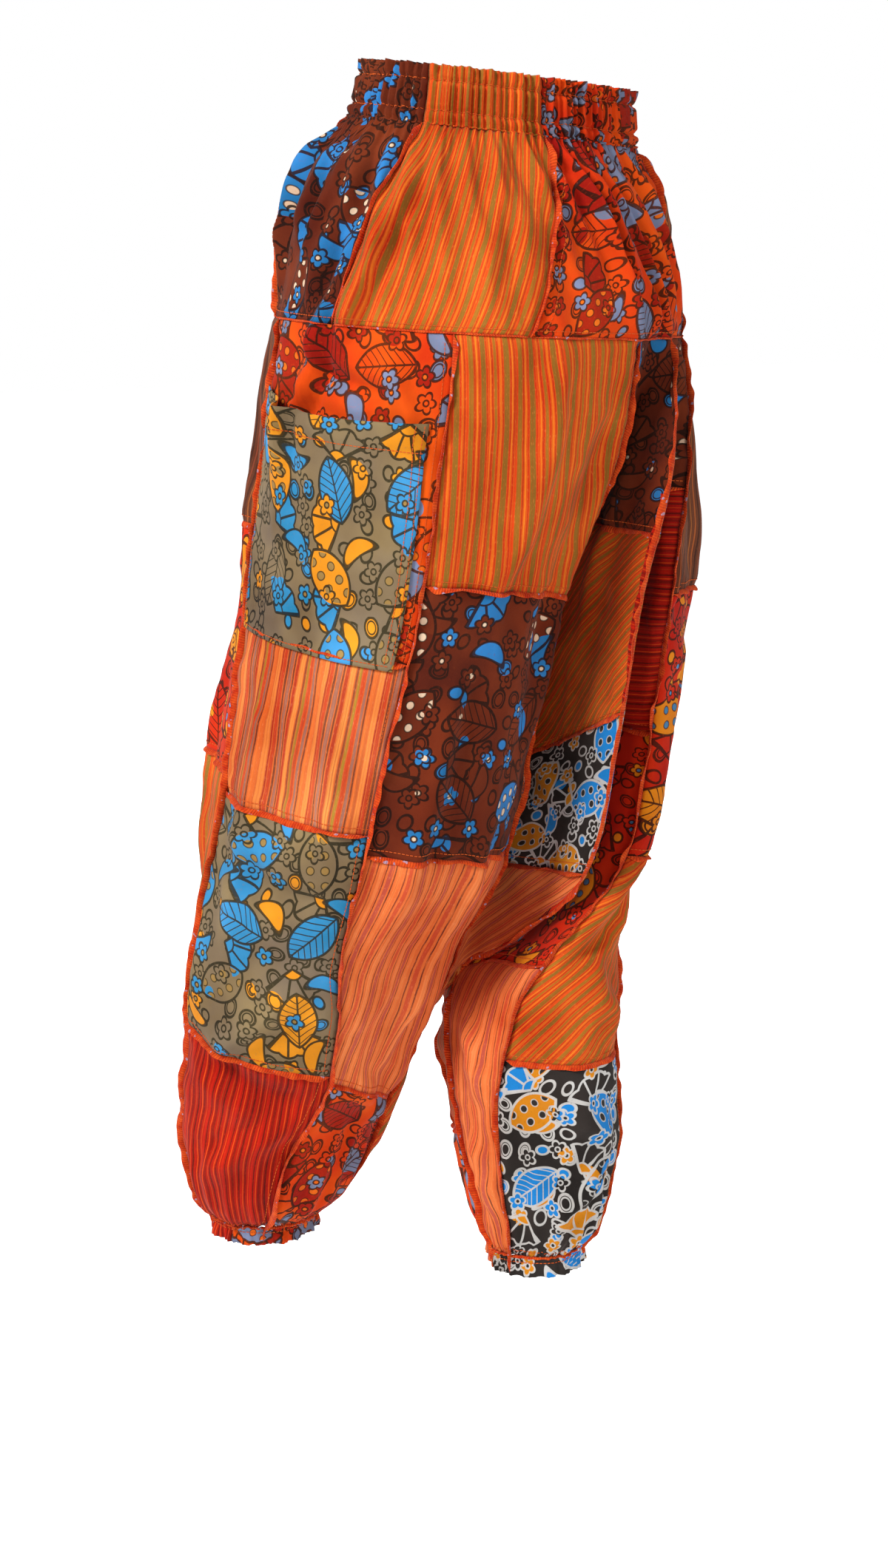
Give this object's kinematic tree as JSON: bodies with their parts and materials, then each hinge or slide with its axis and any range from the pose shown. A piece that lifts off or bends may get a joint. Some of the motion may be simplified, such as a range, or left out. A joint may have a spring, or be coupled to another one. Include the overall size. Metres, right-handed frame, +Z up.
{
  "type": "patchwork harem pants",
  "caption": "Loose patchwork cloth trousers with an elastic waist, a low draped crotch, a patch pocket and gathered elastic cuffs.",
  "frame": {"origin": "middle of the waist opening at the casing's top edge, where the wearer holds the pants up", "axes": "+Z up, -Y the wearer's front, +X the wearer's left"},
  "size_m": [0.4323, 0.3296, 0.9809],
  "materials": {
    "orange_stripe": "washed woven cotton, warp stripes",
    "peach_stripe": "washed woven cotton, broken pinstripes",
    "multi_stripe": "washed woven cotton, mixed stripes",
    "red_stripe": "washed woven cotton, fine stripes",
    "brown_stripe": "washed woven cotton, fine stripes",
    "brown_print": "stonewashed printed cotton",
    "taupe_print": "stonewashed printed cotton",
    "red_orange_print": "stonewashed printed cotton",
    "black_print": "stonewashed printed cotton",
    "red_print": "stonewashed printed cotton"
  },
  "bodies": {
    "root": {"casing_front": "peach_stripe", "yoke_front": "peach_stripe", "casing_left_front": "red_orange_print", "yoke_left_front": "red_orange_print", "casing_left_side": "brown_print", "yoke_left_side": "brown_print", "casing_left_back": "orange_stripe", "yoke_left_back": "orange_stripe", "casing_seat": "red_orange_print", "yoke_seat": "red_orange_print", "casing_right_back": "brown_stripe", "yoke_right_back": "brown_stripe", "casing_right_side": "taupe_print", "yoke_right_side": "taupe_print", "left_fly_upper": "orange_stripe", "left_fly_middle": "black_print", "left_fly_lower": "multi_stripe", "left_front_upper": "brown_stripe", "left_front_thigh": "red_print", "left_front_knee": "orange_stripe", "left_front_shin": "brown_print", "left_side_hip": "red_orange_print", "left_side_thigh": "multi_stripe", "left_side_knee": "taupe_print", "left_side_shin": "red_stripe", "left_back_hip": "orange_stripe", "left_back_thigh": "brown_print", "left_back_knee": "peach_stripe", "left_back_calf": "red_orange_print", "left_inner_seat": "brown_print", "left_inner_drape": "orange_stripe", "left_inner_gusset": "black_print", "left_inner_crotch": "peach_stripe", "left_inner_shin": "orange_stripe", "right_inner_seat": "brown_print", "right_inner_drape": "red_stripe", "right_inner_gusset": "red_print", "right_inner_shin": "peach_stripe", "right_back_hip": "brown_stripe", "right_back_thigh": "red_print", "right_back_knee": "orange_stripe", "right_back_calf": "black_print", "right_side_hip": "multi_stripe", "right_side_thigh": "brown_print", "right_side_shin": "red_stripe", "right_front_hip": "red_orange_print", "right_front_thigh": "orange_stripe", "right_front_shin": "taupe_print", "right_fly_upper": "red_stripe", "right_fly_middle": "orange_stripe", "right_fly_lower": "red_orange_print", "left_cuff_front": "red_stripe", "left_cuff_back": "red_orange_print", "right_cuff_back": "black_print", "right_cuff_front": "peach_stripe", "pocket": "taupe_print"}
  },
  "joints": []
}
